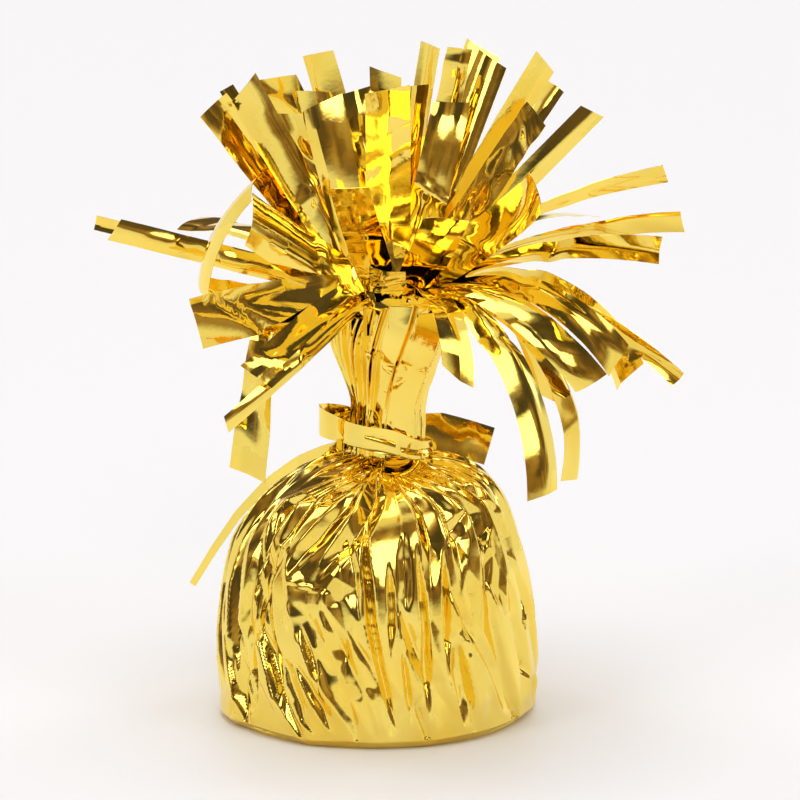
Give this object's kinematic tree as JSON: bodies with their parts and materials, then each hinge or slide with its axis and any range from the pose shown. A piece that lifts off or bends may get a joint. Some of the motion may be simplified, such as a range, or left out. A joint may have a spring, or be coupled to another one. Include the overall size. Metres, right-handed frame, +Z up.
{
  "type": "balloon weight",
  "caption": "Balloon weight: a heavy dome wrapped in creased gold film, tied in at the neck, with a tuft of film strips above, made to hold balloon ribbons down.",
  "frame": {"origin": "centre of the flat foot, on the surface that the weight stands on", "axes": "+Z up through the tuft, +X to the right and -Y towards the viewer as pictured"},
  "size_m": [0.1141, 0.1021, 0.1324],
  "materials": {
    "gold_film": "gold metallised plastic film, mirror bright, creased",
    "cast_weight": "cast plaster, matt"
  },
  "bodies": {
    "root": {"drooping_strip_01": "gold_film", "drooping_strip_02": "gold_film", "drooping_strip_03": "gold_film", "drooping_strip_04": "gold_film", "drooping_strip_05": "gold_film", "drooping_strip_06": "gold_film", "drooping_strip_07": "gold_film", "drooping_strip_08": "gold_film", "drooping_strip_09": "gold_film", "drooping_strip_10": "gold_film", "drooping_strip_11": "gold_film", "drooping_strip_12": "gold_film", "drooping_strip_13": "gold_film", "drooping_strip_14": "gold_film", "foil_wrap": "gold_film", "gathered_stem": "gold_film", "heart_strip_01": "gold_film", "heart_strip_02": "gold_film", "heart_strip_03": "gold_film", "heart_strip_04": "gold_film", "heart_strip_05": "gold_film", "heart_strip_06": "gold_film", "heart_strip_07": "gold_film", "leaning_strip_01": "gold_film", "leaning_strip_02": "gold_film", "leaning_strip_03": "gold_film", "leaning_strip_04": "gold_film", "leaning_strip_05": "gold_film", "leaning_strip_06": "gold_film", "leaning_strip_07": "gold_film", "leaning_strip_08": "gold_film", "leaning_strip_09": "gold_film", "leaning_strip_10": "gold_film", "leaning_strip_11": "gold_film", "leaning_strip_12": "gold_film", "neck_tie": "gold_film", "spreading_strip_01": "gold_film", "spreading_strip_02": "gold_film", "spreading_strip_03": "gold_film", "spreading_strip_04": "gold_film", "spreading_strip_05": "gold_film", "spreading_strip_06": "gold_film", "spreading_strip_07": "gold_film", "spreading_strip_08": "gold_film", "spreading_strip_09": "gold_film", "spreading_strip_10": "gold_film", "spreading_strip_11": "gold_film", "upright_strip_01": "gold_film", "upright_strip_02": "gold_film", "upright_strip_03": "gold_film", "upright_strip_04": "gold_film", "upright_strip_05": "gold_film", "upright_strip_06": "gold_film", "upright_strip_07": "gold_film", "upright_strip_08": "gold_film", "upright_strip_09": "gold_film", "upright_strip_10": "gold_film", "weight_core": "cast_weight"}
  },
  "joints": []
}
